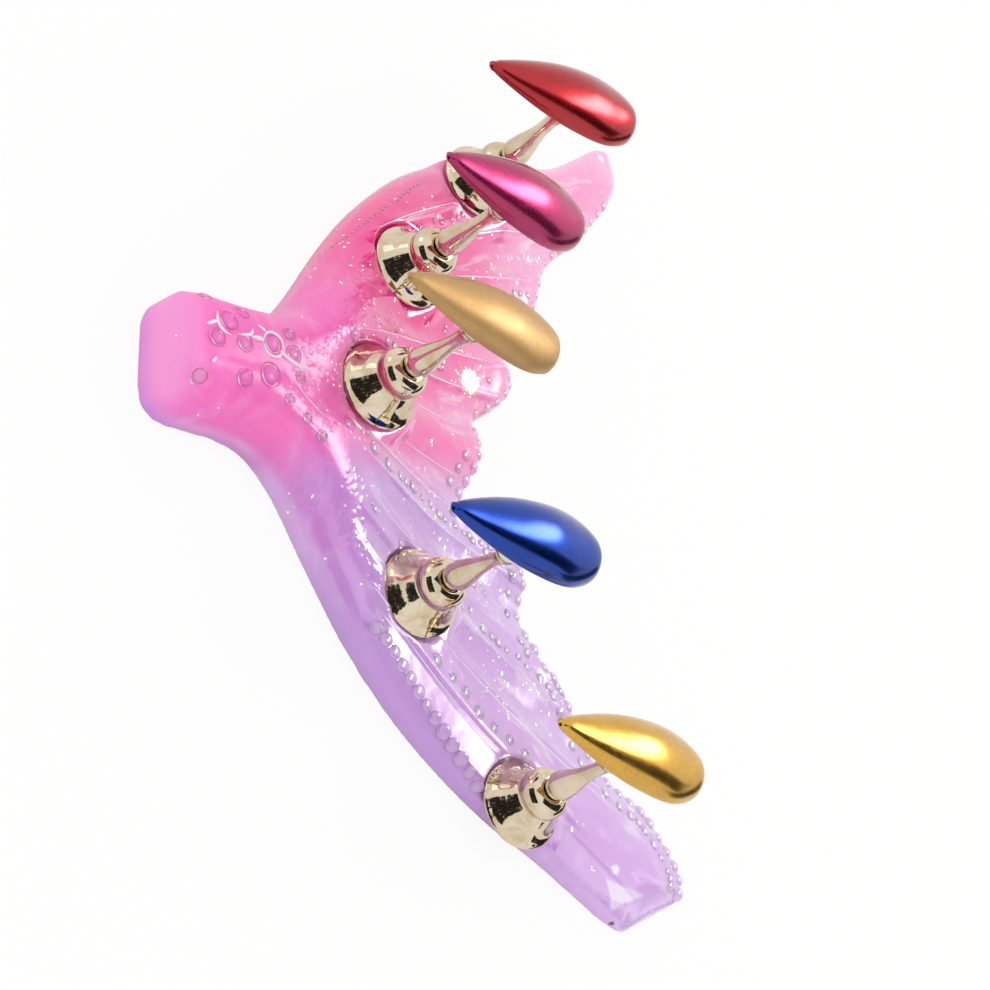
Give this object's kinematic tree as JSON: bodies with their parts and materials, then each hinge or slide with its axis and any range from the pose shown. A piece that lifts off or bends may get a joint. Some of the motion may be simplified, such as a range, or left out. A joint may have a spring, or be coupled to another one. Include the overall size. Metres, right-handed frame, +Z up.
{
  "type": "nail practice stand",
  "caption": "Fish-tail resin base with magnetic bell holders, each lifting a slim stem with a press-on nail tip to be painted.",
  "frame": {"origin": "under the middle of the whole stand's outline, on the table", "axes": "+Z up, +Y from the tail's root to its fork, +X to the side of the lilac fluke"},
  "size_m": [0.1516, 0.118, 0.0406],
  "materials": {
    "resin": "translucent cast resin, pink to lilac, with glitter flakes",
    "plating": "mirror plating, warm champagne",
    "magnet": "nickel plated",
    "putty": "translucent adhesive putty",
    "nail_red": "metallic red lacquer",
    "nail_magenta": "metallic magenta lacquer",
    "nail_champagne": "fine grained champagne gold lacquer",
    "nail_blue": "metallic royal blue lacquer",
    "nail_gold": "metallic yellow gold lacquer"
  },
  "bodies": {
    "tail": {"tail_base": "resin", "tail_magnet_1": "magnet", "tail_magnet_2": "magnet", "tail_magnet_3": "magnet", "tail_magnet_4": "magnet", "tail_magnet_5": "magnet"},
    "bell_1": {"bell_base_1": "plating", "bell_magnet_1": "magnet", "socket_magnet_1": "magnet"},
    "bell_2": {"bell_base_2": "plating", "bell_magnet_2": "magnet", "socket_magnet_2": "magnet"},
    "bell_3": {"bell_base_3": "plating", "bell_magnet_3": "magnet", "socket_magnet_3": "magnet"},
    "bell_4": {"bell_base_4": "plating", "bell_magnet_4": "magnet", "socket_magnet_4": "magnet"},
    "bell_5": {"bell_base_5": "plating", "bell_magnet_5": "magnet", "socket_magnet_5": "magnet"},
    "holder_1": {"stem_1": "plating", "putty_1": "putty", "nail_tip_1": "nail_red"},
    "holder_2": {"stem_2": "plating", "putty_2": "putty", "nail_tip_2": "nail_magenta"},
    "holder_3": {"stem_3": "plating", "putty_3": "putty", "nail_tip_3": "nail_champagne"},
    "holder_4": {"stem_4": "plating", "putty_4": "putty", "nail_tip_4": "nail_blue"},
    "holder_5": {"stem_5": "plating", "putty_5": "putty", "nail_tip_5": "nail_gold"}
  },
  "joints": [
    {"name": "bell_swivel_1", "type": "hinge", "parent": "tail", "child": "bell_1", "pos_m": [-0.0523, 0.0097, 0.0056], "axis": [-0.1115, -0.1444, 0.9832], "continuous": true},
    {"name": "bell_swivel_2", "type": "hinge", "parent": "tail", "child": "bell_2", "pos_m": [-0.02798, -0.00894, 0.0076], "axis": [-0.0244, -0.0785, 0.9966], "continuous": true},
    {"name": "bell_swivel_3", "type": "hinge", "parent": "tail", "child": "bell_3", "pos_m": [-0.00168, -0.01803, 0.00989], "axis": [-0.0366, -0.0645, 0.9972], "continuous": true},
    {"name": "bell_swivel_4", "type": "hinge", "parent": "tail", "child": "bell_4", "pos_m": [0.03024, -0.00623, 0.0068], "axis": [0.0366, -0.1305, 0.9908], "continuous": true},
    {"name": "bell_swivel_5", "type": "hinge", "parent": "tail", "child": "bell_5", "pos_m": [0.06033, 0.01773, 0.00491], "axis": [-0.0471, -0.1132, 0.9925], "continuous": true},
    {"name": "stem_lift_1", "type": "slide", "parent": "bell_1", "child": "holder_1", "axis": [-0.1115, -0.1444, 0.9832], "range_m": [0, 0.012]},
    {"name": "stem_lift_2", "type": "slide", "parent": "bell_2", "child": "holder_2", "axis": [-0.0244, -0.0785, 0.9966], "range_m": [0, 0.012]},
    {"name": "stem_lift_3", "type": "slide", "parent": "bell_3", "child": "holder_3", "axis": [-0.0366, -0.0645, 0.9972], "range_m": [0, 0.012]},
    {"name": "stem_lift_4", "type": "slide", "parent": "bell_4", "child": "holder_4", "axis": [0.0366, -0.1305, 0.9908], "range_m": [0, 0.012]},
    {"name": "stem_lift_5", "type": "slide", "parent": "bell_5", "child": "holder_5", "axis": [-0.0471, -0.1132, 0.9925], "range_m": [0, 0.012]}
  ]
}
